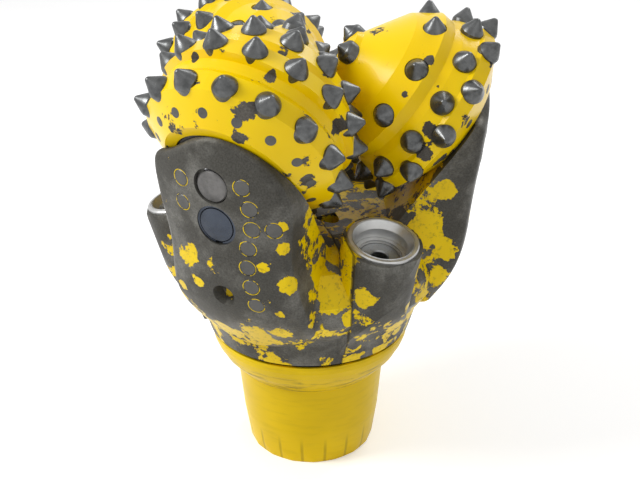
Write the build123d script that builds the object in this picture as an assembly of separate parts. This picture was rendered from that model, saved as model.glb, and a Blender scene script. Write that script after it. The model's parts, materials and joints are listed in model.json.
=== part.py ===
from build123d import *
from math import asin, atan2, cos, degrees, radians, sin
import os

# A three-cone rock bit standing on its pin, which is covered by a plastic thread protector.
# Millimetres. Origin: centre of the protector's bottom face. +Z is up, towards the cones.
# Leg 1 faces -Y, and the other legs and cones follow at 120 degree steps about Z.

# Driving sizes
bit_diameter = 342.9
leg_step = 120.0
journal_angle = 36.0
axes_above_shoulder = 302.8  # where the three journal axes cross the bit's axis
gauge_clearance = 2.5        # the legs and cone shells stay this far inside the gauge circle
gauge_radius = bit_diameter / 2

# Pin, 6-5/8 regular tool-joint thread: 1:6 taper on diameter, 4 threads to the inch
pin_length = 127.0
pin_base_radius = 76.1
pin_taper = 1 / 12
thread_pitch = 25.4 / 4
thread_depth = 3.0
shoulder_radius = 93.25
water_bore_radius = 28.6

# Thread protector
cap_floor = 10.0
cap_wall = 2.6
cap_base_radius = pin_base_radius - pin_length * pin_taper + 0.1
cap_flutes = 18
cap_flute_height = 38.0
cap_flute_flare = 0.21       # how fast the flats at the bottom lean out
cap_clearance = 0.4
cap_lip_radius = shoulder_radius + 6.25

# Heights that the rest hangs from
pin_end_z = cap_floor + 0.2
shoulder_z = pin_end_z + pin_length
axes_meet_z = shoulder_z + axes_above_shoulder

# Body
shank_radius = 102.0
body_radius = 120.0
crotch_z = axes_meet_z - 179
plenum_radius = 44.0
seam_angle = 45.0            # each leg's forging ends this far round from its middle
arm_half_width = 65.0
arm_waist = 60.0
arm_top_z = axes_meet_z - 55.5
arm_edge_radius = 8.0

# Journal bearing, lengths along the journal axis from where the axes meet (minus is outward)
leg_face_s = -166.0
cone_back_s = -165.0
journal_radius = 42.0
journal_shoulder_s = -102.5
pilot_radius = 23.0
pilot_end_s = -73.0
ball_radius = 7.9
ball_count = 16
race_s = -111.0
race_radius = journal_radius + 0.1
thrust_gap = 2.0             # room for the thrust washer in front of the journal's shoulder
bushing_wall = 4.2
bushing_ends = (-157.5, -120.0)
seal_radius = 3.6
running_gap = 0.06
race_gap = 0.15
seat_gap = 0.1               # between the bearing's loose rings and their seats

# Pressure-balanced grease reservoir and ball hole in each leg
reservoir_z = axes_meet_z - 135
reservoir_radius = 18.5
reservoir_depth = 29.0
reservoir_wall = 1.4
plug_recess_radius = 16.0
plug_recess_depth = 6.0
plug_z = reservoir_z + reservoir_radius + plug_recess_radius + 2
ball_hole_radius = 8.25
index_hole_z = axes_meet_z - 205.5

# Nozzles
nozzle_reach = 123.5
nozzle_top_z = crotch_z + 10
nozzle_tilt = 15.0
sleeve_radius = 32.0
boss_radius = sleeve_radius + 3.5
sleeve_bore = 23.5
nozzle_radius = 18.5
nozzle_inlet_radius = 12.2
orifice_radius = 7.5
pocket_depth = 50.0

# Carbide inserts
insert_radius = 10.4
insert_grip = 15.0
tip_radius = 3.2
tip_angle = 35.0             # where the flank meets the round tip
press_gap = 0.05
button_radius = 6.9
button_length = 11.0
button_pitch = 19.0
gauge_button_radius = 4.4
gauge_button_length = 6.0

# The cone shells, all (along the axis, radius): outlines from the gauge face to the nose.
# "heel" is how many inserts the heel row has and the first one's angle. Each other row, and
# heel_row, is (along the axis, radius, lean, height) and, for the others, (count, first angle).
gauge_back = (cone_back_s, 59.5)
gauge_front = (-146.5, 85.3)
gauge_button_row = 0.41      # how far out along the gauge face its buttons sit
heel_row = (-140, 86, 1, 13)
cones = {
    1: {"outline": [(-129, 86), (-123.5, 81.5), (-113.5, 81.5), (-110, 87.5), (-93.5, 82), (-88, 72.5),
                    (-81.5, 74), (-64, 64.5), (-60.5, 55), (-56, 49.5), (-42, 37.5), (-33, 27.5),
                    (-24, 21), (-15.5, 6.5), (-14.5, 0)],
        "heel": (15, -36),
        "rows": [(-101, 84.5, -20, 13, 15, -54.5), (-72, 69.5, -26, 12.5, 13, -50),
                 (-48.5, 43, -40, 11, 8, -10), (-26.5, 23.5, -60, 12, 4, 20)]},
    2: {"outline": [(-133.5, 86), (-130.5, 83), (-117, 78), (-110, 74), (-99, 75), (-97, 73.5),
                    (-78, 60.5), (-72.5, 53), (-49.5, 21), (-44, 18.5), (-41, 10), (-41, 0)],
        "heel": (12, -119),
        "rows": [(-123, 81.5, -15, 13, 12, -104), (-92.5, 68, -33, 13, 9, -104),
                 (-43.5, 15.5, -80, 10, 3, -85)]},
    3: {"outline": [(-131, 86), (-125.5, 82.5), (-107, 80.5), (-103.5, 75), (-84, 66), (-77, 55),
                    (-58.5, 39.5), (-48.5, 24), (-44, 10), (-44, 0)],
        "heel": (14, 5),
        "rows": [(-115, 82, -12, 13, 12, -10), (-93, 69.5, -26, 13, 10, 8),
                 (-67, 42, -38, 10, 7, 0), (-45.5, 12, -87, 10, 2, 0)]},
}


def turned(points, arc=360):
    """A solid turned about Z from (radius, height) points."""
    return revolve(Plane.XZ * make_face(Polyline(*points, close=True)), Axis.Z, arc)


def washer(inner, outer, low, high):
    return turned([(inner, low), (outer, low), (outer, high), (inner, high)])


def rod(radius, low, high):
    return turned([(0, low), (radius, low), (radius, high), (0, high)])


def ring(major, minor, height):
    return Pos(0, 0, height) * Torus(major, minor)


# Places

journal = Location(Plane(origin=(0, 0, axes_meet_z),
                         x_dir=(0, -sin(radians(journal_angle)), cos(radians(journal_angle))),
                         z_dir=(0, cos(radians(journal_angle)), sin(radians(journal_angle)))))


def leg_turn(number):
    return Rot(0, 0, leg_step * (number - 1))


def nozzle_place(side):
    """On the boss between two legs, its Z pointing up and out of the nozzle."""
    return Rot(0, 0, side * leg_step / 2) * Pos(0, -nozzle_reach, nozzle_top_z) * Rot(nozzle_tilt, 0, 0)


# A leg's outer face from its foot to its top: (radius, height above the shoulder or below the axes)
back_foot = [(108, 10.8), (119, 36.8), (134.5, 58.8), (147.5, 82.8)]
back_top = [(153.5, 195), (156, 170), (160, 137), (165, 98), (167.5, 65),
            (gauge_radius - gauge_clearance, 46)]
leg_back = Plane.XZ * Spline(*[(radius, shoulder_z + up) for radius, up in back_foot],
                             *[(radius, axes_meet_z - down) for radius, down in back_top])


def back_point(z):
    """Radius and slope of a leg's outer face at height z."""
    low, high = 0.0, 1.0
    for _ in range(40):
        middle = (low + high) / 2
        if (leg_back @ middle).Z < z:
            low = middle
        else:
            high = middle
    along = leg_back % low
    return (leg_back @ low).X, degrees(atan2(along.X, along.Z))


def on_back(offset, z):
    """A place on leg 1's outer face, its Z pointing straight out of the face."""
    radius, slope = back_point(z)
    return Rot(0, 0, degrees(asin(offset / radius))) * Pos(0, -radius, z) * Rot(90 + slope, 0, 0)


def button_places():
    """Flush wear buttons: a long column, a short one and one odd button by the leg's edge."""
    column = reservoir_radius + button_radius + 7.6
    inwards = [4.5, 0, 0, 5.5, 8, 6.5, 4.5]
    long_column = [(column - d, plug_z + 3 - button_pitch * i) for i, d in enumerate(inwards)]
    odd_ones = [(3 - column, plug_z + 1.5), (1 - column, plug_z - 21.5), (column + 18, reservoir_z + 2.5)]
    return long_column + odd_ones


# Legs

def envelope():
    """Everything inside the legs' outer faces."""
    low, high = leg_back @ 0, leg_back @ 1
    bottom = Line((0, 0, low.Z), low)
    middle = Line((0, 0, high.Z), (0, 0, low.Z))
    top = Line(high, (0, 0, high.Z))
    return revolve(make_face([leg_back, top, middle, bottom]), Axis.Z, 360)


def pin_profile():
    """The threaded pin's outline from its end to the shoulder, crests on the taper."""
    def crest(z):
        return pin_base_radius - (shoulder_z - z) * pin_taper
    points = [(crest(pin_end_z) - 5, pin_end_z), (crest(pin_end_z + 8) - 0.5, pin_end_z + 8)]
    turn = pin_end_z + 12
    while turn < shoulder_z - 16:
        points += [(crest(turn), turn), (crest(turn) - thread_depth, turn + thread_pitch * 0.42),
                   (crest(turn) - thread_depth, turn + thread_pitch * 0.58)]
        turn += thread_pitch
    root = crest(shoulder_z - 14) - thread_depth
    return points + [(crest(turn), turn), (root, shoulder_z - 11), (root, shoulder_z - 4),
                     (root + 3, shoulder_z)]


def core():
    """The body without the arms: threaded pin, shank, crotch, water bore and plenum."""
    outside = pin_profile() + [
        (shoulder_radius, shoulder_z), (shank_radius, shoulder_z + 4.5),
        (shank_radius + 9, shoulder_z + 36), (body_radius - 4, shoulder_z + 41),
        (body_radius + 9, shoulder_z + 60), (body_radius + 10, shoulder_z + 80),
        (body_radius - 5, crotch_z - 18), (body_radius - 27, crotch_z - 5), (72, crotch_z), (0, crotch_z)]
    inside = [(0, crotch_z - 35), (26, crotch_z - 41), (plenum_radius, crotch_z - 53),
              (plenum_radius, crotch_z - 81), (water_bore_radius, crotch_z - 101),
              (water_bore_radius, pin_end_z + 4), (water_bore_radius + 4, pin_end_z)]
    return turned(outside + inside)


def arm():
    """One arm: its front outline pushed inwards, cut by the outer face and by the face behind the cone."""
    w, waist, low, high = arm_half_width, arm_waist, shoulder_z + 50, axes_meet_z - 127
    hip, narrow, crown = axes_meet_z - 214, axes_meet_z - 167, arm_top_z - 23
    right = Spline((w, low), (w, hip), (waist, narrow), (w - 1, high), tangents=((0, 1), (0.1, 1)))
    top = Spline((w - 1, high), (48.5, crown), (0, arm_top_z), (-48.5, crown), (1 - w, high),
                 tangents=((0.1, 1), (0.1, -1)))
    left = Spline((1 - w, high), (-waist, narrow), (-w, hip), (-w, low), tangents=((0.1, -1), (0, -1)))
    bottom = ThreePointArc((-w, low), (0, low - 22), (w, low))
    block = extrude(Plane.XZ * make_face([right, top, left, bottom]), 200) & envelope()
    border = [edge for edge in block.edges() if (edge @ 0.5).Y < -110 and edge.geom_type != GeomType.LINE]
    block = fillet(border, arm_edge_radius)
    return block - journal * Pos(0, 0, leg_face_s + 150) * Box(500, 500, 300)


def boss(side):
    return (nozzle_place(side) * rod(boss_radius, -116, 0)) & envelope()


def wedge():
    """The third of the bit that leg 1's forging fills."""
    def at(angle):
        return (400 * sin(radians(angle)), -400 * cos(radians(angle)))
    start = seam_angle - leg_step
    face = make_face(Polyline((0, 0), at(start), at(start + leg_step / 2), at(seam_angle), close=True))
    return extrude(face, axes_meet_z + 60)


def journal_pin():
    """The journal that carries the cone, with its half of the ball race."""
    body = turned([(0, leg_face_s - 2), (journal_radius, leg_face_s - 2),
                   (journal_radius, journal_shoulder_s - 1), (journal_radius - 1, journal_shoulder_s),
                   (pilot_radius, journal_shoulder_s), (pilot_radius, pilot_end_s - 1),
                   (pilot_radius - 1, pilot_end_s), (0, pilot_end_s)])
    return body - ring(race_radius, ball_radius + race_gap, race_s)


def ball_hole(radius, start, end):
    """A rod along the slanted hole that the balls are loaded through."""
    z = plug_z
    back, slope = back_point(z)
    mouth = (-back * cos(radians(journal_angle)) + (z - axes_meet_z) * sin(radians(journal_angle)),
             back * sin(radians(journal_angle)) + (z - axes_meet_z) * cos(radians(journal_angle)))
    lean = degrees(atan2(race_radius - 4 - mouth[1], race_s - mouth[0]))
    return journal * Pos(mouth[1], 0, mouth[0]) * Rot(0, lean, 0) * rod(radius, start, end)


def leg_bores():
    """What is drilled into leg 1: nozzle pockets, reservoir, ball hole, index hole and button holes."""
    cuts = []
    for side in (-1, 1):
        cuts.append(nozzle_place(side) * rod(sleeve_radius + press_gap, -pocket_depth, 24))
        feed = nozzle_place(side) * Pos(0, 0, 2 - pocket_depth) * Rot(-nozzle_tilt - 70, 0, 0)
        cuts.append(feed * rod(nozzle_inlet_radius + 0.8, -4, 90))
    cuts.append(on_back(0, reservoir_z) * rod(reservoir_radius, -reservoir_depth, 12))
    cuts.append(on_back(0, reservoir_z) * rod(reservoir_radius + 1.2, -3.4, -1.6))
    cuts.append(on_back(0, plug_z) * rod(plug_recess_radius, -plug_recess_depth, 12))
    cuts.append(ball_hole(ball_hole_radius, -6, 92))
    dimple = turned([(0, -16), (3.5, -13), (7, -9.5), (11, 0), (15, 8), (0, 8)])
    cuts.append(on_back(-2, index_hole_z) * dimple)
    for offset, z in button_places():
        cuts.append(on_back(offset, z) * rod(button_radius + 0.25, -button_length, 8))
    return cuts


def leg():
    body = (core() + arm() + boss(-1) + boss(1)) & wedge()
    body = body + journal * journal_pin()
    for cut in leg_bores():
        body = body - cut
    return body


def leg_buttons():
    one = turned([(0, -button_length), (button_radius, -button_length), (button_radius, -0.3),
                  (button_radius - 0.5, 0.2), (0, 0.2)])
    return Compound(children=[on_back(offset, z) * one for offset, z in button_places()])


def reservoir():
    """Grease can, rubber diaphragm, cap and the snap ring that holds them in."""
    place = on_back(0, reservoir_z)
    r, low = reservoir_radius - press_gap, -reservoir_depth
    inner = r - reservoir_wall
    can = turned([(0, low), (r, low), (r, -7.6), (inner, -7.6), (inner, low + reservoir_wall),
                  (0, low + reservoir_wall)])
    dome = turned([(0, low + 5), (r * 0.49, low + 6), (r * 0.76, low + 11), (inner - 0.75, -10),
                   (inner - 0.25, -7.5), (r, -7.5), (r, -6.1), (inner - 1.75, -6.1),
                   (inner - 2.35, -10.5), (r * 0.68, low + 11.5), (r * 0.43, low + 7.5), (0, low + 6.6)])
    cap = turned([(0, -6), (r, -6), (r, -3.4), (r - 2.45, -3.4), (r - 3.05, -1.3), (r / 2, -0.5), (0, -0.2)])
    snap = washer(r - 2.05, reservoir_radius + 1.1, -3.35, -1.65)
    snap = snap - Pos(0, -reservoir_radius - 1.5, -2.5) * Box(7, 12, 4)
    return {"reservoir_can": place * can, "reservoir_diaphragm": place * dome,
            "reservoir_cap": place * cap, "snap_ring": place * snap}


def ball_plug():
    """The pin that shuts the ball hole, flush with the journal and with its share of the race."""
    plug = ball_hole(ball_hole_radius - press_gap, 12, 86)
    plug = plug - on_back(0, plug_z) * rod(plug_recess_radius, -plug_recess_depth, 12)
    around = washer(journal_radius - press_gap, journal_radius + 30, leg_face_s, journal_shoulder_s)
    plug = plug - journal * around
    return plug - journal * ring(race_radius, ball_radius + race_gap, race_s)


def plug_weld():
    """Dressed weld over the plug, set back in its round recess."""
    r, low = plug_recess_radius - 2.2, 0.05 - plug_recess_depth
    disc = turned([(0, low), (r, low), (r + 0.4, -2.6), (r - 0.8, -1.9), (0, -1.5)])
    return on_back(0, plug_z) * Pos(0, -1.5, 0) * disc


# Nozzles

def nozzle_parts(number):
    """Steel sleeve, carbide jet, the snap ring over it and the seal round it."""
    place = leg_turn(number) * nozzle_place(-1)
    low, lip, seat = 0.1 - pocket_depth, sleeve_radius - 3.2, nozzle_radius + seat_gap
    sleeve = turned([(nozzle_inlet_radius, low), (sleeve_radius, low), (sleeve_radius, 2),
                     (sleeve_radius - 1, 3), (lip, 3), (lip, 2.2), (lip - 1, 2.2), (lip - 1.6, 3),
                     (sleeve_bore, -4), (sleeve_bore, -13.4), (sleeve_bore + 1.1, -13.4),
                     (sleeve_bore + 1.1, -16), (seat, -16), (seat, -26), (seat + 2.3, -26), (seat + 2.3, -30),
                     (seat, -30), (seat, low + 4.9), (nozzle_inlet_radius, low + 4.9)])
    jet = turned([(nozzle_inlet_radius + 0.3, low + 5), (nozzle_radius, low + 5), (nozzle_radius, -17),
                  (nozzle_radius - 1, -16.1), (orifice_radius + 1, -16.1), (orifice_radius, -17.5),
                  (orifice_radius, -28)])
    snap = washer(sleeve_bore - 3.9, sleeve_bore + 1, -15.9, -13.6)
    snap = snap - Pos(0, 3.5 - sleeve_bore, -15) * Box(8, 9, 6)
    return {"nozzle_sleeve": place * sleeve, "nozzle": place * jet, "ring": place * snap,
            "seal": place * ring(nozzle_radius + 1.25, 1.1, -28)}


# Cones: built about Z in the journal's own frame, then placed

def insert(height, radius):
    """A conical carbide insert with a rounded tip, its seat at Z 0."""
    flank = Polyline((0, -insert_grip), (radius - 0.6, -insert_grip), (radius, 0.6 - insert_grip),
                     (radius, 0.6))
    shoulder = ThreePointArc((radius, 0.6), (radius * 0.87, 3.0), (radius * 0.70, height * 0.42))
    ball = height - tip_radius
    touch = (tip_radius * cos(radians(tip_angle)), ball + tip_radius * sin(radians(tip_angle)))
    halfway = radians((tip_angle + 90) / 2)
    side = Line((radius * 0.70, height * 0.42), touch)
    tip = ThreePointArc(touch, (tip_radius * cos(halfway), ball + tip_radius * sin(halfway)), (0, height))
    back = Line((0, height), (0, -insert_grip))
    return revolve(Plane.XZ * make_face([flank, shoulder, side, tip, back]), Axis.Z, 360)


def row_places(along, radius, lean, count, start):
    return [Rot(0, 0, start + 360 / count * i) * Pos(radius, 0, along) * Rot(0, 90 + lean, 0)
            for i in range(count)]


def cone_rows(cone):
    """Heel row first, then the inner rows: (places, insert height)."""
    along, radius, lean, height = heel_row
    heel = (row_places(along, radius, lean, *cone["heel"]), height)
    inner = [(row_places(s, r, lean, n, first), height) for s, r, lean, height, n, first in cone["rows"]]
    return heel, inner


def gauge_places(cone):
    """Small flush buttons on the gauge face, between the heel inserts."""
    count, start = cone["heel"]
    out, along = gauge_front[1] - gauge_back[1], gauge_front[0] - gauge_back[0]
    s, r = gauge_back[0] + gauge_button_row * along, gauge_back[1] + gauge_button_row * out
    return row_places(s, r, degrees(atan2(out, along)), count, start + 180 / count)


def cone_shell(cone):
    outside = [(r, s) for s, r in [gauge_back, gauge_front] + cone["outline"]]
    bushing_seat = journal_radius + bushing_wall + seat_gap
    gland = journal_radius + 2 * seal_radius + 0.4
    bore = [(0, pilot_end_s + 1.2), (pilot_radius + running_gap, pilot_end_s + 1.2),
            (pilot_radius + running_gap, journal_shoulder_s + thrust_gap),
            (journal_radius + 0.3, journal_shoulder_s + thrust_gap),
            (journal_radius + 0.3, bushing_ends[1]), (bushing_seat, bushing_ends[1]),
            (bushing_seat, bushing_ends[0]), (gland, bushing_ends[0]), (gland, cone_back_s)]
    shell = turned(outside + bore) - ring(race_radius, ball_radius + race_gap, race_s)
    heel, inner = cone_rows(cone)
    pocket = rod(insert_radius + press_gap, -insert_grip - 0.05, 9)
    small = rod(gauge_button_radius + press_gap, -gauge_button_length - 0.05, 4)
    places = heel[0] + [place for row, height in inner for place in row]
    return shell.cut(*[place * pocket for place in places], *[place * small for place in gauge_places(cone)])


def cone_nodes(number, cone):
    place = leg_turn(number) * journal
    heel, inner = cone_rows(cone)
    button = turned([(0, -gauge_button_length), (gauge_button_radius, -gauge_button_length),
                     (gauge_button_radius, 0.1), (0, 0.5)])
    bushing = washer(journal_radius + running_gap, journal_radius + bushing_wall,
                     bushing_ends[0] + seat_gap, bushing_ends[1] - seat_gap)
    thrust = washer(pilot_radius + 0.2, journal_radius - 2,
                    journal_shoulder_s + 0.05, journal_shoulder_s + thrust_gap - 0.05)
    seal = ring(journal_radius + seal_radius + seat_gap, seal_radius, (cone_back_s + bushing_ends[0]) / 2)
    return {
        "cone_shell": place * cone_shell(cone),
        "heel_inserts": Compound(children=[place * (p * insert(heel[1], insert_radius)) for p in heel[0]]),
        "inner_inserts": Compound(children=[place * (p * insert(height, insert_radius))
                                            for row, height in inner for p in row]),
        "gauge_buttons": Compound(children=[place * (p * button) for p in gauge_places(cone)]),
        "bearing_bushing": place * bushing,
        "thrust_washer": place * thrust,
        "shaft_seal": place * seal,
    }


def bearing_balls(number):
    place = leg_turn(number) * journal
    return Compound(children=[place * (Rot(0, 0, 360 / ball_count * (i + 0.5)) * Pos(race_radius, 0, race_s)
                                       * Sphere(ball_radius)) for i in range(ball_count)])


# Thread protector

def thread_protector():
    def inner(z):
        return pin_base_radius - (shoulder_z - z) * pin_taper + cap_clearance
    lip_z = shoulder_z - 0.3
    bevel_top = pin_end_z + 8
    waist_z = shoulder_z - 43
    outside = [(0, 0), (cap_base_radius - 1.5, 0), (cap_base_radius, 0.8),
               (inner(cap_flute_height) + cap_wall, cap_flute_height), (inner(waist_z) + cap_wall, waist_z)]
    outside += [(cap_lip_radius - inwards, lip_z - down) for inwards, down in
                [(14.5, 32), (10, 25.5), (8.9, 25), (4.7, 16), (3.5, 15), (0.9, 8), (0, 3), (0.4, 0)]]
    inside = [(cap_lip_radius - 3, lip_z), (cap_lip_radius - 4, lip_z - 9),
              (cap_lip_radius - 13.5, lip_z - 25), (inner(lip_z - 34), lip_z - 34),
              (inner(bevel_top), bevel_top), (inner(cap_floor) - 5, cap_floor), (0, cap_floor)]
    flat = cap_base_radius - 1.0
    low = RegularPolygon(flat, cap_flutes, major_radius=False)
    high = RegularPolygon(flat + cap_flute_flare * cap_flute_height, cap_flutes, major_radius=False)
    high = Pos(0, 0, cap_flute_height) * high
    above = Pos(0, 0, cap_flute_height + 60) * Box(400, 400, 120)
    return turned(outside + inside) & (loft([low, high]) + above)


def save(name, shape):
    shape.label = name
    export_step(shape, f"parts/{name}.step")


def main():
    os.makedirs("parts", exist_ok=True)
    save("thread_protector", thread_protector())
    first = {"leg": leg(), "leg_buttons": leg_buttons(), "ball_plug": ball_plug(), "plug_weld": plug_weld()}
    first.update(reservoir())
    snaps = first.pop("snap_ring")
    for number in (1, 2, 3):
        for name, shape in first.items():
            save(f"{name}_{number}", leg_turn(number) * shape)
    nozzles = [nozzle_parts(number) for number in (1, 2, 3)]
    for number, parts in enumerate(nozzles, 1):
        save(f"nozzle_sleeve_{number}", parts["nozzle_sleeve"])
        save(f"nozzle_{number}", parts["nozzle"])
        save(f"bearing_balls_{number}", bearing_balls(number))
    save("reservoir_snap_rings", Compound(children=[leg_turn(number) * snaps for number in (1, 2, 3)]))
    save("nozzle_snap_rings", Compound(children=[parts["ring"] for parts in nozzles]))
    save("nozzle_seals", Compound(children=[parts["seal"] for parts in nozzles]))
    for number, cone in cones.items():
        for name, shape in cone_nodes(number, cone).items():
            save(f"{name}_{number}", shape)


main()
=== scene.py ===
import bpy, bmesh, json
from math import radians, sin, cos
from mathutils import Vector, Matrix

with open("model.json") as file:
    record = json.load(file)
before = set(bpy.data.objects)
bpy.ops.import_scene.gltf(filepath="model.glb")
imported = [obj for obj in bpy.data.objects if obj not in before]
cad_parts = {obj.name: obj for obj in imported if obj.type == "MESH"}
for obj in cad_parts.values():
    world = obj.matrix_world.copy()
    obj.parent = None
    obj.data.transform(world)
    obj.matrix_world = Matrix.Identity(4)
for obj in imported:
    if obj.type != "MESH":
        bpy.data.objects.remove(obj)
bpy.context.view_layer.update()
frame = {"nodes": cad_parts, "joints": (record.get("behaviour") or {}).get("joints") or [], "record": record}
nodes = frame["nodes"]
joints = {joint["name"]: joint for joint in frame["joints"]}
mounts = {mount["name"]: mount for mount in frame["record"]["mounts"]}
shoulderZ = mounts["threaded_pin"]["pos_m"][2]   # where the legs end and the pin begins
legTurn = 120   # degrees from one leg to the next, counter-clockwise
print("frame loaded,", len(nodes), "nodes")

paintColours = {
    "yellow": (0.95, 0.665, 0.0, 1),
    "yellowWarm": (0.90, 0.59, 0.0, 1),
    "yellowDeep": (0.46, 0.29, 0.004, 1),
    "legYellow": (0.88, 0.63, 0.0, 1),
    "legYellowDull": (0.74, 0.50, 0.0, 1),
    "scuffed": (0.36, 0.25, 0.01, 1),
    "seamDirt": (0.03, 0.024, 0.012, 1),
    "bareSteel": (0.052, 0.049, 0.044, 1),
    "bareSteelPale": (0.15, 0.145, 0.135, 1),
}


def newMaterial(name, colour):
    material = bpy.data.materials.new(name)
    material.use_nodes = True
    material.diffuse_color = colour
    tree = material.node_tree
    return material, tree, tree.nodes["Principled BSDF"]


def addNode(tree, kind, values=None, **settings):
    node = tree.nodes.new(kind)
    for key, value in settings.items():
        setattr(node, key, value)
    for key, value in (values or {}).items():
        node.inputs[key].default_value = value
    return node


def link(tree, source, target):
    tree.links.new(source, target)


def feed(tree, item, socket):
    # an output is linked, a plain value is set
    if hasattr(item, "is_output"):
        link(tree, item, socket)
    else:
        socket.default_value = item


def mathNode(tree, operation, a, b=None):
    node = addNode(tree, "ShaderNodeMath", operation=operation)
    feed(tree, a, node.inputs[0])
    if b is not None:
        feed(tree, b, node.inputs[1])
    return node.outputs[0]


def addUp(tree, *items):
    total = items[0]
    for item in items[1:]:
        total = mathNode(tree, "ADD", total, item)
    return total


def leastOf(tree, items):
    least = items[0]
    for item in items[1:]:
        least = mathNode(tree, "MINIMUM", least, item)
    return least


def rangeNode(tree, value, low, high, toLow=0.0, toHigh=1.0, smooth=True):
    node = addNode(tree, "ShaderNodeMapRange", clamp=True,
                   interpolation_type="SMOOTHSTEP" if smooth else "LINEAR")
    link(tree, value, node.inputs["Value"])
    for key, item in (("From Min", low), ("From Max", high), ("To Min", toLow), ("To Max", toHigh)):
        feed(tree, item, node.inputs[key])
    return node.outputs["Result"]


def mixColour(tree, factor, a, b):
    node = addNode(tree, "ShaderNodeMix", data_type="RGBA")
    for index, item in ((0, factor), (6, a), (7, b)):   # the colour sockets come after the plain ones
        feed(tree, item, node.inputs[index])
    return node.outputs[2]


noiseSpan = (0.3, 0.7)   # noise lies mostly between these


def noiseNode(tree, vector, scale, detail=4.0, rough=0.55):
    node = addNode(tree, "ShaderNodeTexNoise", {"Scale": scale, "Detail": detail, "Roughness": rough},
                   noise_dimensions="4D")
    link(tree, vector, node.inputs["Vector"])
    return node.outputs["Fac"]


def bumpNode(tree, height, shader, strength, distance):
    bump = addNode(tree, "ShaderNodeBump", {"Strength": strength, "Distance": distance})
    link(tree, height, bump.inputs["Height"])
    link(tree, bump.outputs[0], shader.inputs["Normal"])


def vectorNode(tree, operation, coords, other=None):
    node = addNode(tree, "ShaderNodeVectorMath", operation=operation)
    link(tree, coords, node.inputs[0])
    if other is not None:
        feed(tree, other, node.inputs[1])
    return node


def newGroup(name, inputs, outputs):
    group = bpy.data.node_groups.new(name, "ShaderNodeTree")
    for title, kind, value in inputs:
        socket = group.interface.new_socket(title, in_out="INPUT", socket_type=kind)
        if value is not None:
            socket.default_value = value
    for title, kind in outputs:
        group.interface.new_socket(title, in_out="OUTPUT", socket_type=kind)
    return group, group.nodes.new("NodeGroupInput"), group.nodes.new("NodeGroupOutput")


def useGroup(tree, group, **values):
    node = addNode(tree, "ShaderNodeGroup", node_tree=group)
    for key, value in values.items():
        node.inputs[key].default_value = value
    return node


def objectCoords(tree):
    return addNode(tree, "ShaderNodeTexCoord").outputs["Object"]


def splitCoords(tree, coords):
    parts = addNode(tree, "ShaderNodeSeparateXYZ")
    link(tree, coords, parts.inputs[0])
    return parts.outputs["X"], parts.outputs["Y"], parts.outputs["Z"]


def turnedCoords(tree, coords, degreesBack):
    node = addNode(tree, "ShaderNodeMapping")
    node.inputs["Rotation"].default_value = (0, 0, radians(-degreesBack))
    link(tree, coords, node.inputs["Vector"])
    return node.outputs[0]


raggedLook = {"push": 0.006, "scale": 90.0, "detail": 4.0, "rough": 0.65}


def raggedCoords(tree, coords):
    # pushes the coordinates about a little, so a round spot gets a torn outline
    noise = addNode(tree, "ShaderNodeTexNoise", {"Scale": raggedLook["scale"], "Detail": raggedLook["detail"],
                                                 "Roughness": raggedLook["rough"]})
    link(tree, coords, noise.inputs["Vector"])
    push = raggedLook["push"]
    moved = vectorNode(tree, "MULTIPLY_ADD", noise.outputs["Color"], (push, push, push))
    moved.inputs[2].default_value = (-push / 2, -push / 2, -push / 2)
    return vectorNode(tree, "ADD", coords, moved.outputs[0]).outputs[0]


spotReach = (0.45, 1.35)   # a spot is full up to the first share of its size, and gone at the second


def spotSum(tree, coords, spots, push):
    # how much the spots add to the paint's hold
    parts = []
    for x, y, z, size in spots:
        away = vectorNode(tree, "DISTANCE", coords, (x / 1000, y / 1000, z / 1000)).outputs["Value"]
        inner, outer = (size / 1000 * share for share in spotReach)
        parts.append(rangeNode(tree, away, inner, outer, push, 0.0))
    return addUp(tree, *parts)


mergeDistance = 0.00001


def islandCentres(name):
    # the middle of each separate solid in a node, weighted by area
    work = bmesh.new()
    work.from_mesh(nodes[name].data)
    bmesh.ops.remove_doubles(work, verts=work.verts, dist=mergeDistance)
    waiting, centres = set(work.faces), []
    while waiting:
        stack, total, area = [waiting.pop()], Vector(), 0.0
        while stack:
            face = stack.pop()
            size = face.calc_area()
            total, area = total + face.calc_center_median() * size, area + size
            for edge in face.edges:
                for other in edge.link_faces:
                    if other in waiting:
                        waiting.remove(other)
                        stack.append(other)
        centres.append(total / area)
    work.free()
    return centres


flakeLook = {
    "big": {"Detail": 6.0, "Roughness": 0.62, "Distortion": 0.35}, "bigShare": 0.8,
    "small": {"Detail": 5.0, "Roughness": 0.7}, "smallShare": 0.2, "smallScale": 4.5,
    "edge": 0.004, "rimWidth": 0.022}


def buildFlakeGroup():
    # 1 where the paint holds, 0 where it has flaked to the steel; hold raises the painted share
    look = flakeLook
    group, inner, outer = newGroup("paintFlakes", [
        ("Vector", "NodeSocketVector", None), ("Hold", "NodeSocketFloat", 0.5),
        ("Seed", "NodeSocketFloat", 0.0), ("Size", "NodeSocketFloat", 55.0)],
        [("Paint", "NodeSocketFloat"), ("Rim", "NodeSocketFloat")])
    shares = []
    for kind, scale in (("big", 1.0), ("small", look["smallScale"])):
        noise = addNode(group, "ShaderNodeTexNoise", look[kind], noise_dimensions="4D")
        link(group, inner.outputs["Vector"], noise.inputs["Vector"])
        link(group, inner.outputs["Seed"], noise.inputs["W"])
        link(group, mathNode(group, "MULTIPLY", inner.outputs["Size"], scale), noise.inputs["Scale"])
        shares.append(mathNode(group, "MULTIPLY", noise.outputs["Fac"], look[kind + "Share"]))
    level = mathNode(group, "SUBTRACT", addUp(group, *shares, inner.outputs["Hold"]), 1.0)
    link(group, rangeNode(group, level, -look["edge"], look["edge"]), outer.inputs["Paint"])
    near = rangeNode(group, mathNode(group, "ABSOLUTE", level), 0.0, look["rimWidth"], 1.0, 0.0)
    link(group, near, outer.inputs["Rim"])
    return group


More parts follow.
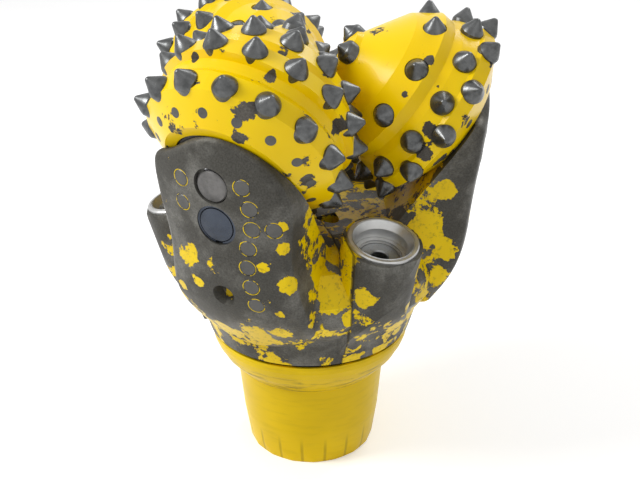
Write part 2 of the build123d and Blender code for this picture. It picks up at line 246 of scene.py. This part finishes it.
steelLook = {"cloudScale": 24.0, "rub": (0.42, 0.68), "gritScale": 650.0, "grit": (0.35, 0.7),
             "speck": (0.75, 1.25), "rough": (0.52, 0.36), "gritHeight": 0.35}


def buildSteelGroup():
    # dark forged steel with pale rubbed areas and fine grit
    look = steelLook
    group, inner, outer = newGroup("forgedSteel", [
        ("Vector", "NodeSocketVector", None), ("Dark", "NodeSocketColor", paintColours["bareSteel"]),
        ("Pale", "NodeSocketColor", paintColours["bareSteelPale"])],
        [("Colour", "NodeSocketColor"), ("Rough", "NodeSocketFloat"), ("Height", "NodeSocketFloat")])
    vector = inner.outputs["Vector"]
    cloud = noiseNode(group, vector, look["cloudScale"], 6.0, 0.6)
    grit = noiseNode(group, vector, look["gritScale"], 3.0, 0.6)
    rub = rangeNode(group, cloud, *look["rub"])
    mixed = mixColour(group, rub, inner.outputs["Dark"], inner.outputs["Pale"])
    bright = addNode(group, "ShaderNodeVectorMath", operation="SCALE")
    link(group, mixed, bright.inputs[0])
    link(group, rangeNode(group, grit, *look["grit"], *look["speck"], False), bright.inputs["Scale"])
    link(group, bright.outputs[0], outer.inputs["Colour"])
    link(group, rangeNode(group, cloud, *noiseSpan, *look["rough"]), outer.inputs["Rough"])
    height = addUp(group, mathNode(group, "MULTIPLY", grit, look["gritHeight"]), cloud)
    link(group, height, outer.inputs["Height"])
    return group


flakeGroup = buildFlakeGroup()
steelGroup = buildSteelGroup()

coatLook = {"rimDark": 0.6, "seamDark": 0.7, "coatRough": 0.14, "waveScale": 38.0, "paintStep": 0.6,
            "waveHeight": 0.35, "steelHeight": 0.12, "bump": 0.8, "bumpDistance": 0.0006}


def paintOverSteel(tree, shader, coords, paint, rim, paintColour, look, groove=None):
    # joins paint and bare steel: colour, metal, roughness, coat and a step at the flakes' edges
    steel = useGroup(tree, steelGroup, Dark=look["steelDark"], Pale=look["steelPale"])
    link(tree, coords, steel.inputs["Vector"])
    darkness = mathNode(tree, "MULTIPLY", rim, coatLook["rimDark"])
    darkRim = mixColour(tree, darkness, paintColour, paintColours["yellowDeep"])
    colour = mixColour(tree, paint, steel.outputs["Colour"], darkRim)
    if groove is not None:
        dirt = mathNode(tree, "MULTIPLY", groove, coatLook["seamDark"])
        colour = mixColour(tree, dirt, colour, paintColours["seamDirt"])
    link(tree, colour, shader.inputs["Base Color"])
    link(tree, rangeNode(tree, paint, 0.0, 1.0, look["steelMetal"], 0.0, False), shader.inputs["Metallic"])
    rough = addNode(tree, "ShaderNodeMix", data_type="FLOAT")
    for index, item in ((0, paint), (2, steel.outputs["Rough"]), (3, look["paintRough"])):
        feed(tree, item, rough.inputs[index])
    link(tree, rough.outputs[0], shader.inputs["Roughness"])
    link(tree, mathNode(tree, "MULTIPLY", paint, look["coat"]), shader.inputs["Coat Weight"])
    shader.inputs["Coat Roughness"].default_value = coatLook["coatRough"]
    shader.inputs["Specular IOR Level"].default_value = look["shine"]
    wave = noiseNode(tree, coords, coatLook["waveScale"], 2.0, 0.5)
    height = addUp(tree, mathNode(tree, "MULTIPLY", paint, coatLook["paintStep"]),
                   mathNode(tree, "MULTIPLY", wave, coatLook["waveHeight"]),
                   mathNode(tree, "MULTIPLY", steel.outputs["Height"], coatLook["steelHeight"]))
    if groove is not None:
        height = mathNode(tree, "SUBTRACT", height, groove)
    bumpNode(tree, height, shader, coatLook["bump"], coatLook["bumpDistance"])


# where chips gather on each cone: x, y, z and size in millimetres
coneChips = {
    1: [(12, -169, 428, 5), (35, -164, 409, 10), (47, -163, 415, 7), (43, -135, 429, 6), (37, -105, 442, 6),
        (28, -164, 386, 6), (75, -134, 366, 9), (71, -125, 347, 9), (83, -98, 385, 8), (-25, -137, 437, 5)],
    2: [(119, 0, 418, 5), (106, -21, 392, 4), (130, -22, 365, 8), (155, -2, 370, 9), (127, -22, 341, 8),
        (133, 0, 330, 8), (161, 34, 412, 6), (156, 58, 388, 7), (113, 89, 433, 5), (140, 52, 434, 5)],
    3: [(-150, 62, 400, 9), (-128, 96, 412, 8), (-96, 108, 372, 10), (-60, 78, 436, 7), (-142, 40, 366, 9),
        (-118, 30, 428, 6), (-165, 84, 372, 8)],
}

# hold raises the painted share; ridges are the raised rings' places along the axis, measured from the joint
conePaintLook = {
    1: {"hold": 0.648, "seed": 1.7, "ridges": (-0.129, -0.1095, -0.0935, -0.0815)},
    2: {"hold": 0.642, "seed": 5.2, "ridges": (-0.1335, -0.097, -0.0725)},
    3: {"hold": 0.636, "seed": 8.4, "ridges": (-0.131, -0.1065, -0.077)},
    "ridgeWear": -0.035, "ridgeWidth": (0.0008, 0.0030), "backWear": -0.07, "backPlace": (-0.160, -0.150),
    "chipPush": -0.17, "size": 42.0, "shadeScale": 12.0, "shades": (0.3, 0.75), "paintRough": 0.28,
    "coat": 0.18, "shine": 0.13,
    "steelDark": (0.060, 0.054, 0.046, 1), "steelPale": (0.13, 0.12, 0.105, 1), "steelMetal": 0.3}


def conePaint(number):
    look = dict(conePaintLook, **conePaintLook[number])
    material, tree, shader = newMaterial(f"conePaint{number}", paintColours["yellow"])
    coords = objectCoords(tree)
    ragged = raggedCoords(tree, coords)
    spin = joints[f"cone_{number}_spin"]
    axis = Vector(spin["axis"])
    along = vectorNode(tree, "DOT_PRODUCT", ragged, axis).outputs["Value"]
    along = mathNode(tree, "SUBTRACT", along, axis.dot(Vector(spin["pos_m"])))
    hold = addUp(tree, spotSum(tree, ragged, coneChips[number], look["chipPush"]), look["hold"])
    for ridge in look["ridges"]:   # the paint goes first along the raised rings
        near = mathNode(tree, "ABSOLUTE", mathNode(tree, "SUBTRACT", along, ridge))
        hold = addUp(tree, hold, rangeNode(tree, near, *look["ridgeWidth"], look["ridgeWear"], 0.0))
    hold = addUp(tree, hold, rangeNode(tree, along, *look["backPlace"], look["backWear"], 0.0))
    flakes = useGroup(tree, flakeGroup, Seed=look["seed"], Size=look["size"])
    link(tree, coords, flakes.inputs["Vector"])
    link(tree, hold, flakes.inputs["Hold"])
    shade = rangeNode(tree, noiseNode(tree, coords, look["shadeScale"], 3.0), *look["shades"])
    yellow = mixColour(tree, shade, paintColours["yellow"], paintColours["yellowWarm"])
    paintOverSteel(tree, shader, coords, flakes.outputs["Paint"], flakes.outputs["Rim"], yellow, look)
    return material


# paint left on every leg's outer face and places scraped bare on it, placed as on leg 1, and then the same
# for each leg's own flanks: x, y, z and size in millimetres
facePaint = [
    (-35, -150, 267, 14), (-30, -150, 243, 9), (-7, -155, 262, 10), (-53, -140, 227, 6), (25, -156, 289, 6),
    (58, -150, 312, 7), (56, -147, 290, 8), (40, -150, 272, 8), (58, -143, 255, 11), (50, -140, 222, 8),
    (20, -127, 188, 8), (-23, -124, 184, 9), (-66, -128, 242, 13), (-60, -122, 214, 11), (-48, -112, 178, 11)]
faceBare = [
    (-35, -97, 145, 8), (-10, -103, 148, 9), (27, -108, 165, 13), (50, -91, 147, 7), (58, -120, 193, 8)]
flankPaint = {
    1: [(65, -118, 210, 9), (62, -98, 248, 11), (74, -97, 220, 12), (62, -102, 292, 11), (88, -92, 205, 8)],
    2: [(80, -65, 143, 8), (110, -30, 165, 6), (107, -91, 230, 11), (121, 0, 260, 16), (138, 8, 300, 11),
        (136, -51, 245, 9)],
    3: [(-98, 62, 250, 10), (-118, 10, 180, 9)],
}
flankBare = {
    1: [(72, -84, 165, 13), (80, -100, 200, 9), (50, -95, 190, 10), (96, -80, 230, 10)],
    2: [(97, -53, 158, 8), (97, -86, 190, 8), (123, -78, 220, 12), (134, -76, 250, 9), (145, 13, 263, 10),
        (156, 17, 309, 6), (155, 31, 361, 6)],
    3: [(-76, 96, 226, 12), (-60, 118, 180, 10), (-20, 118, 168, 9), (-112, 40, 200, 11), (-90, 70, 165, 10)],
}

# base is the painted share inside wornRadius, which is where a leg begins to rub the rock; seams are the
# directions, in degrees, square to leg 1's two weld seams
legPaintLook = {
    "base": 0.505, "wornRadius": (0.128, 0.150), "wornDrop": 0.155, "footZ": (0.150, 0.190), "footDrop": 0.03,
    "paintPush": 0.20, "barePush": -0.17, "tearScale": 150.0, "tear": 0.13, "size": 40.0, "seedStep": 3.1,
    "rimAway": 0.00896, "rimWidth": (0.00036, 0.00063), "rimScale": 160.0, "rimBreaks": (0.44, 0.50),
    "seams": (45, -75), "seamWidth": (0.00039, 0.0013), "shadeScale": 14.0, "shades": (0.3, 0.75),
    "scuffScale": 210.0, "scuffs": (0.52, 0.64), "scuffDepth": 0.6, "shoulderEdge": (-0.0004, 0.0),
    "steelDark": (0.070, 0.067, 0.058, 1), "steelPale": (0.17, 0.165, 0.148, 1), "steelMetal": 0.3,
    "paintRough": 0.34, "coat": 0.12, "shine": 0.13}


def legHold(tree, coords, number):
    # the painted share over a leg: less where it rubs the rock and near its foot, then spot by spot
    look = legPaintLook
    ragged = raggedCoords(tree, coords)
    x, y, z = splitCoords(tree, coords)
    flat = addNode(tree, "ShaderNodeCombineXYZ")
    link(tree, x, flat.inputs["X"])
    link(tree, y, flat.inputs["Y"])
    reach = vectorNode(tree, "LENGTH", flat.outputs[0]).outputs["Value"]
    worn = mathNode(tree, "MULTIPLY", rangeNode(tree, reach, *look["wornRadius"]), look["wornDrop"])
    hold = mathNode(tree, "SUBTRACT", look["base"], worn)
    hold = mathNode(tree, "SUBTRACT", hold, rangeNode(tree, z, *look["footZ"], look["footDrop"], 0.0))
    face = turnedCoords(tree, ragged, legTurn * (number - 1))
    groups = (face, facePaint, faceBare), (ragged, flankPaint[number], flankBare[number])
    for place, painted, bare in groups:
        hold = addUp(tree, hold, spotSum(tree, place, painted, look["paintPush"]))
        hold = addUp(tree, hold, spotSum(tree, place, bare, look["barePush"]))
    torn = mathNode(tree, "SUBTRACT", noiseNode(tree, coords, look["tearScale"], 5.0, 0.7), 0.5)
    return addUp(tree, hold, mathNode(tree, "MULTIPLY", torn, look["tear"]))


def buttonRims(tree, coords, number):
    # paint left in the rim of each wear button's hole
    look = legPaintLook
    away = [vectorNode(tree, "DISTANCE", coords, centre).outputs["Value"]
            for centre in islandCentres(f"leg_buttons_{number}")]
    off = mathNode(tree, "ABSOLUTE", mathNode(tree, "SUBTRACT", leastOf(tree, away), look["rimAway"]))
    ring = rangeNode(tree, off, *look["rimWidth"], 1.0, 0.0)
    breaks = rangeNode(tree, noiseNode(tree, coords, look["rimScale"], 3.0), *look["rimBreaks"])
    return mathNode(tree, "MULTIPLY", ring, breaks)


def seamGroove(tree, coords, number):
    # the two weld seams beside a leg
    look = legPaintLook
    away = []
    for seam in look["seams"]:
        angle = radians(seam + legTurn * (number - 1))
        side = vectorNode(tree, "DOT_PRODUCT", coords, (cos(angle), sin(angle), 0)).outputs["Value"]
        away.append(mathNode(tree, "ABSOLUTE", side))
    return rangeNode(tree, leastOf(tree, away), *look["seamWidth"], 1.0, 0.0)


def legPaint(number):
    look = legPaintLook
    material, tree, shader = newMaterial(f"legPaint{number}", paintColours["yellow"])
    coords = objectCoords(tree)
    flakes = useGroup(tree, flakeGroup, Seed=look["seedStep"] * number, Size=look["size"])
    link(tree, coords, flakes.inputs["Vector"])
    link(tree, legHold(tree, coords, number), flakes.inputs["Hold"])
    paint = mathNode(tree, "MAXIMUM", flakes.outputs["Paint"], buttonRims(tree, coords, number))
    low, high = (shoulderZ + step for step in look["shoulderEdge"])
    painted = rangeNode(tree, splitCoords(tree, coords)[2], low, high)   # no paint below the shoulder
    paint = mathNode(tree, "MULTIPLY", paint, painted)
    shade = rangeNode(tree, noiseNode(tree, coords, look["shadeScale"], 3.0), *look["shades"])
    yellow = mixColour(tree, shade, paintColours["legYellow"], paintColours["legYellowDull"])
    scuff = noiseNode(tree, coords, look["scuffScale"], 6.0, 0.7)
    scuff = rangeNode(tree, scuff, *look["scuffs"], 0.0, look["scuffDepth"])
    yellow = mixColour(tree, scuff, yellow, paintColours["scuffed"])
    groove = seamGroove(tree, coords, number)
    paintOverSteel(tree, shader, coords, paint, flakes.outputs["Rim"], yellow, look, groove)
    return material


carbideLook = {"colour": (0.125, 0.128, 0.128, 1), "dark": (0.07, 0.072, 0.072, 1), "rough": (0.25, 0.38),
               "metallic": 0.85, "blotchScale": 140.0, "blotches": (0.38, 0.7), "grainScale": 1400.0,
               "bump": 0.25, "bumpDistance": 0.0002}


def carbide():
    look = carbideLook
    material, tree, shader = newMaterial("sinteredCarbide", look["colour"])
    coords = objectCoords(tree)
    blotch = noiseNode(tree, coords, look["blotchScale"], 5.0, 0.6)
    colour = mixColour(tree, rangeNode(tree, blotch, *look["blotches"]), look["colour"], look["dark"])
    link(tree, colour, shader.inputs["Base Color"])
    shader.inputs["Metallic"].default_value = look["metallic"]
    link(tree, rangeNode(tree, blotch, *noiseSpan, *look["rough"]), shader.inputs["Roughness"])
    grain = noiseNode(tree, coords, look["grainScale"], 2.0)
    bumpNode(tree, grain, shader, look["bump"], look["bumpDistance"])
    return material


# scale sets the size of the clouds and the grain, dark is the share of the colour that the clouds keep
metalLooks = {
    "flushCarbide": {"colour": (0.10, 0.098, 0.092, 1), "rough": 0.42, "metallic": 0.6},
    "bearingSteel": {"colour": (0.55, 0.55, 0.57, 1), "rough": 0.2},
    "dressedWeld": {"colour": (0.15, 0.145, 0.14, 1), "rough": 0.4, "metallic": 0.8, "scale": 500.0,
                    "dark": 0.4, "bump": 0.5},
    "bluedSteel": {"colour": (0.055, 0.065, 0.085, 1), "rough": 0.33, "metallic": 0.8, "scale": 240.0,
                   "dark": 0.5, "bump": 0.3},
    "machinedSteel": {"colour": (0.60, 0.60, 0.59, 1), "rough": 0.36, "metallic": 0.9, "scale": 200.0,
                      "dark": 0.72},
    "jetCarbide": {"colour": (0.36, 0.37, 0.38, 1), "rough": 0.34, "metallic": 0.9},
    "bronze": {"colour": (0.50, 0.30, 0.11, 1), "rough": 0.3},
}
usualMetal = {"metallic": 1.0, "scale": 300.0, "cloudShare": 0.125, "clouds": (0.4, 0.7), "grainShare": 3,
              "dark": 0.6, "bump": 0.15, "bumpDistance": 0.0002, "roughSpread": (-0.08, 0.1)}


def bareMetal(name):
    look = dict(usualMetal, **metalLooks[name])
    material, tree, shader = newMaterial(name, look["colour"])
    coords = objectCoords(tree)
    cloud = noiseNode(tree, coords, look["scale"] * look["cloudShare"], 5.0, 0.6)
    grain = noiseNode(tree, coords, look["scale"] * look["grainShare"], 3.0, 0.6)
    darker = tuple(part * look["dark"] for part in look["colour"][:3]) + (1,)
    colour = mixColour(tree, rangeNode(tree, cloud, *look["clouds"]), look["colour"], darker)
    link(tree, colour, shader.inputs["Base Color"])
    shader.inputs["Metallic"].default_value = look["metallic"]
    low, high = (look["rough"] + step for step in look["roughSpread"])
    link(tree, rangeNode(tree, grain, *noiseSpan, low, high), shader.inputs["Roughness"])
    bumpNode(tree, grain, shader, look["bump"], look["bumpDistance"])
    return material


# beltZ is where dirt gathers round the waist, edgeZ under the shoulder, and creaseZ where painted shade
# darkens the creases of the grip flutes
protectorLook = {
    "colour": (0.84, 0.58, 0.0, 1), "shade": (0.70, 0.475, 0.0, 1), "grime": (0.085, 0.055, 0.008, 1),
    "cloudScale": 9.0, "clouds": (0.35, 0.7), "smearScale": 26.0, "smearStretch": 7, "smears": (0.47, 0.66),
    "dust": 0.08,
    "beltZ": (0.092, 0.100, 0.112, 0.124), "beltDirt": 0.85, "edgeZ": (0.1325, 0.1365), "edgeDirt": 0.45,
    "flutes": 18, "creaseZ": (0.0162, 0.036), "creaseEdge": 0.86, "creaseDirt": 0.35, "creaseDepth": 0.8,
    "rough": 0.36, "shine": 0.12, "coat": 0.08, "coatRough": 0.2, "rippleScale": 55.0, "bump": 0.35,
    "bumpDistance": 0.0006}


def protectorPlastic():
    look = protectorLook
    material, tree, shader = newMaterial("protectorPlastic", look["colour"])
    coords = objectCoords(tree)
    cloud = noiseNode(tree, coords, look["cloudScale"], 3.0)
    colour = mixColour(tree, rangeNode(tree, cloud, *look["clouds"]), look["colour"], look["shade"])
    stretch = addNode(tree, "ShaderNodeMapping")
    stretch.inputs["Scale"].default_value = (1, 1, look["smearStretch"])
    link(tree, coords, stretch.inputs["Vector"])
    smear = noiseNode(tree, stretch.outputs[0], look["smearScale"], 7.0, 0.68)
    smear = rangeNode(tree, smear, *look["smears"])
    x, y, height = splitCoords(tree, coords)
    low, lowIn, highIn, high = look["beltZ"]
    above, below = rangeNode(tree, height, low, lowIn), rangeNode(tree, height, highIn, high, 1.0, 0.0)
    belt = mathNode(tree, "MULTIPLY", mathNode(tree, "MULTIPLY", above, below), look["beltDirt"])
    dirt = mathNode(tree, "MULTIPLY", smear, addUp(tree, belt, look["dust"]))
    edge = mathNode(tree, "MULTIPLY", rangeNode(tree, height, *look["edgeZ"]), look["edgeDirt"])
    dirt = mathNode(tree, "MAXIMUM", dirt, mathNode(tree, "MULTIPLY", edge, smear))
    turn = mathNode(tree, "MULTIPLY", mathNode(tree, "ARCTAN2", y, x), look["flutes"])
    beat = mathNode(tree, "MULTIPLY", mathNode(tree, "COSINE", turn), -1.0)
    crease = mathNode(tree, "MULTIPLY", rangeNode(tree, beat, look["creaseEdge"], 1.0),
                      rangeNode(tree, height, *look["creaseZ"], 1.0, 0.0))
    # painted shade: the creases between the grip flutes are darkened with the same dark colour as the dirt
    dirt = mathNode(tree, "MAXIMUM", dirt, mathNode(tree, "MULTIPLY", crease, look["creaseDirt"]))
    link(tree, mixColour(tree, dirt, colour, look["grime"]), shader.inputs["Base Color"])
    shader.inputs["Roughness"].default_value = look["rough"]
    shader.inputs["Specular IOR Level"].default_value = look["shine"]
    shader.inputs["Coat Weight"].default_value = look["coat"]
    shader.inputs["Coat Roughness"].default_value = look["coatRough"]
    ripple = mathNode(tree, "SUBTRACT", noiseNode(tree, coords, look["rippleScale"], 3.0),
                      mathNode(tree, "MULTIPLY", crease, look["creaseDepth"]))
    bumpNode(tree, ripple, shader, look["bump"], look["bumpDistance"])
    return material


rubberLook = {"colour": (0.02, 0.02, 0.02, 1), "dark": (0.012, 0.012, 0.012, 1),
              "pale": (0.035, 0.034, 0.033, 1), "grainScale": 900.0, "rough": 0.6, "bump": 0.3,
              "bumpDistance": 0.0002}


def sealRubber():
    look = rubberLook
    material, tree, shader = newMaterial("sealRubber", look["colour"])
    grain = noiseNode(tree, objectCoords(tree), look["grainScale"], 3.0)
    link(tree, mixColour(tree, grain, look["dark"], look["pale"]), shader.inputs["Base Color"])
    shader.inputs["Roughness"].default_value = look["rough"]
    bumpNode(tree, grain, shader, look["bump"], look["bumpDistance"])
    return material


def dress(name, material):
    mesh = nodes[name].data
    mesh.materials.clear()
    mesh.materials.append(material)


def dressAll():
    metals = {name: bareMetal(name) for name in metalLooks}
    insertMetal, rubber = carbide(), sealRubber()
    for number in (1, 2, 3):
        dress(f"cone_shell_{number}", conePaint(number))
        dress(f"leg_{number}", legPaint(number))
        for name, metal in (("gauge_buttons", "flushCarbide"), ("leg_buttons", "flushCarbide"),
                            ("ball_plug", "bearingSteel"), ("bearing_balls", "bearingSteel"),
                            ("plug_weld", "dressedWeld"), ("reservoir_cap", "bluedSteel"),
                            ("reservoir_can", "machinedSteel"), ("nozzle_sleeve", "machinedSteel"),
                            ("nozzle", "jetCarbide"), ("bearing_bushing", "bronze"),
                            ("thrust_washer", "bronze")):
            dress(f"{name}_{number}", metals[metal])
        for name in ("heel_inserts", "inner_inserts"):
            dress(f"{name}_{number}", insertMetal)
        for name in ("reservoir_diaphragm", "shaft_seal"):
            dress(f"{name}_{number}", rubber)
    dress("reservoir_snap_rings", metals["bluedSteel"])
    dress("nozzle_snap_rings", metals["machinedSteel"])
    dress("nozzle_seals", rubber)
    dress("thread_protector", protectorPlastic())


dressAll()
print("materials on every node")


def seenOrMirrored(tree):
    # 1 for what the camera sees, straight or in a reflection
    path = addNode(tree, "ShaderNodeLightPath")
    return mathNode(tree, "MAXIMUM", path.outputs["Is Camera Ray"], path.outputs["Is Glossy Ray"])


def pickShader(tree, factor, plain, seen, target):
    pick = addNode(tree, "ShaderNodeMixShader")
    link(tree, factor, pick.inputs[0])
    link(tree, plain, pick.inputs[1])
    link(tree, seen, pick.inputs[2])
    link(tree, pick.outputs[0], target.inputs["Surface"])


floorLook = {"size": 4.0, "colour": (0.90, 0.90, 0.90, 1), "rough": 0.9, "lift": 0.31}


def buildStage():
    work = bmesh.new()
    bmesh.ops.create_grid(work, x_segments=1, y_segments=1, size=floorLook["size"])
    mesh = bpy.data.meshes.new("floor")
    work.to_mesh(mesh)
    work.free()
    floor = bpy.data.objects.new("floor", mesh)
    bpy.context.scene.collection.objects.link(floor)
    material, tree, shader = newMaterial("paleFloor", floorLook["colour"])
    shader.inputs["Base Color"].default_value = floorLook["colour"]
    shader.inputs["Roughness"].default_value = floorLook["rough"]
    lift = addNode(tree, "ShaderNodeEmission", {"Strength": floorLook["lift"]})
    both = addNode(tree, "ShaderNodeAddShader")
    link(tree, shader.outputs[0], both.inputs[0])
    link(tree, lift.outputs[0], both.inputs[1])
    pickShader(tree, seenOrMirrored(tree), shader.outputs[0], both.outputs[0], tree.nodes["Material Output"])
    mesh.materials.append(material)


# each lamp's place, what it points at, its size and its power
lampSet = {
    "keyLamp": {"place": (-1.3, -1.1, 1.7), "target": (0, 0, 0.25), "size": 1.0, "power": 34},
    "fillLamp": {"place": (1.6, -0.8, 1.2), "target": (0, 0, 0.2), "size": 1.4, "power": 2},
    "backLamp": {"place": (0.3, 1.6, 1.8), "target": (0, 0, 0.3), "size": 1.2, "power": 16},
}
roomLook = {"colour": (1, 1, 1, 1), "light": 0.52, "seen": 1.0}


def buildLamps():
    for name, look in lampSet.items():
        lamp = bpy.data.lights.new(name, "AREA")
        lamp.shape, lamp.size, lamp.energy = "DISK", look["size"], look["power"]
        thing = bpy.data.objects.new(name, lamp)
        thing.location = look["place"]
        aim = Vector(look["target"]) - Vector(look["place"])
        thing.rotation_euler = aim.to_track_quat("-Z", "Y").to_euler()
        bpy.context.scene.collection.objects.link(thing)


def buildRoom():
    world = bpy.data.worlds.new("softRoom")
    bpy.context.scene.world = world
    world.use_nodes = True
    tree = world.node_tree
    back = tree.nodes["Background"]
    back.inputs["Color"].default_value = roomLook["colour"]
    back.inputs["Strength"].default_value = roomLook["light"]
    clean = addNode(tree, "ShaderNodeBackground", {"Color": roomLook["colour"], "Strength": roomLook["seen"]})
    pickShader(tree, seenOrMirrored(tree), back.outputs[0], clean.outputs[0], tree.nodes["World Output"])


# turn and rise are where the camera stands round the bit, in degrees, and away is its distance in metres
cameraSet = {"turn": 28.5, "rise": 26.55, "away": 0.973, "lookZ": 0.2058, "roll": 0.85, "lens": 54.9,
             "shiftX": 0.0172, "shiftY": 0.0247, "sensor": 36, "nearest": 0.01}


def buildCamera():
    camera = bpy.data.cameras.new("camera")
    camera.sensor_width = cameraSet["sensor"]
    camera.lens = cameraSet["lens"]
    camera.shift_x, camera.shift_y = cameraSet["shiftX"], cameraSet["shiftY"]
    camera.clip_start = cameraSet["nearest"]
    thing = bpy.data.objects.new("camera", camera)
    turn, rise, roll = (radians(cameraSet[key]) for key in ("turn", "rise", "roll"))
    back = Vector((sin(turn) * cos(rise), -cos(turn) * cos(rise), sin(rise)))
    thing.location = Vector((0, 0, cameraSet["lookZ"])) + back * cameraSet["away"]
    aim = (-back).to_track_quat("-Z", "Y").to_matrix() @ Matrix.Rotation(-roll, 3, "Z")
    thing.rotation_euler = aim.to_euler()
    bpy.context.scene.collection.objects.link(thing)
    bpy.context.scene.camera = thing


buildStage()
buildLamps()
buildRoom()
buildCamera()
bpy.context.scene.view_settings.view_transform = "Standard"
print("stage, lamps and camera set")
